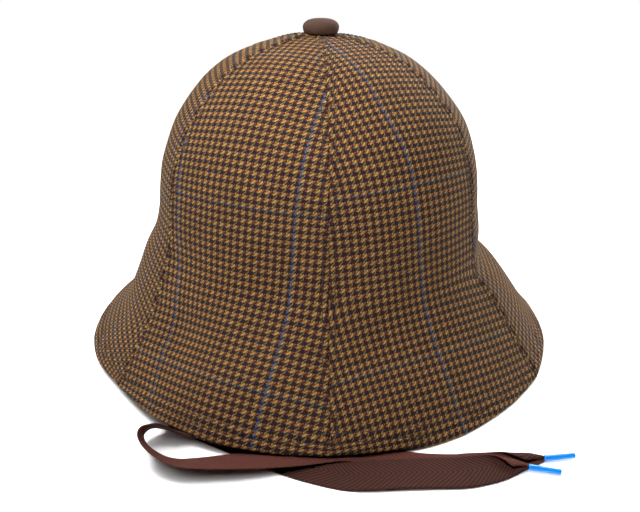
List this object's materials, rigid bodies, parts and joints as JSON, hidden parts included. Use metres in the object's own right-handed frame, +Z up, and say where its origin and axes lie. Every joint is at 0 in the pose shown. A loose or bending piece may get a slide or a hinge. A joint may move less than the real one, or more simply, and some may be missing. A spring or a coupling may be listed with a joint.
{
  "type": "tulip hat",
  "caption": "Soft tulip-shaped hat of checked wool cloth: gored crown and flared brim in one, a covered button on top and loose tie tapes with plastic tips.",
  "frame": {"origin": "middle of the rim's outline on the surface that the hat stands on, tie tapes left out", "axes": "+Z up through the crown, -Y towards the front seam, where the tie tapes lie, +X to the wearer's left as the front is seen, where the tapes' tips end"},
  "size_m": [0.283, 0.3096, 0.1861],
  "materials": {
    "houndstooth_wool": "matt brown and black houndstooth wool cloth with thin blue lines",
    "button_cloth": "matt dark brown cloth",
    "herringbone_tape": "matt brown herringbone cotton tape",
    "tip_plastic": "bright blue plastic, slightly glossy"
  },
  "bodies": {
    "root": {"panel_front_right": "houndstooth_wool", "panel_right": "houndstooth_wool", "panel_back_right": "houndstooth_wool", "panel_back_left": "houndstooth_wool", "panel_left": "houndstooth_wool", "panel_front_left": "houndstooth_wool", "top_button": "button_cloth", "tie_tape_left": "herringbone_tape", "tie_tape_right": "herringbone_tape", "tape_tip_left": "tip_plastic", "tape_tip_right": "tip_plastic"}
  },
  "joints": []
}
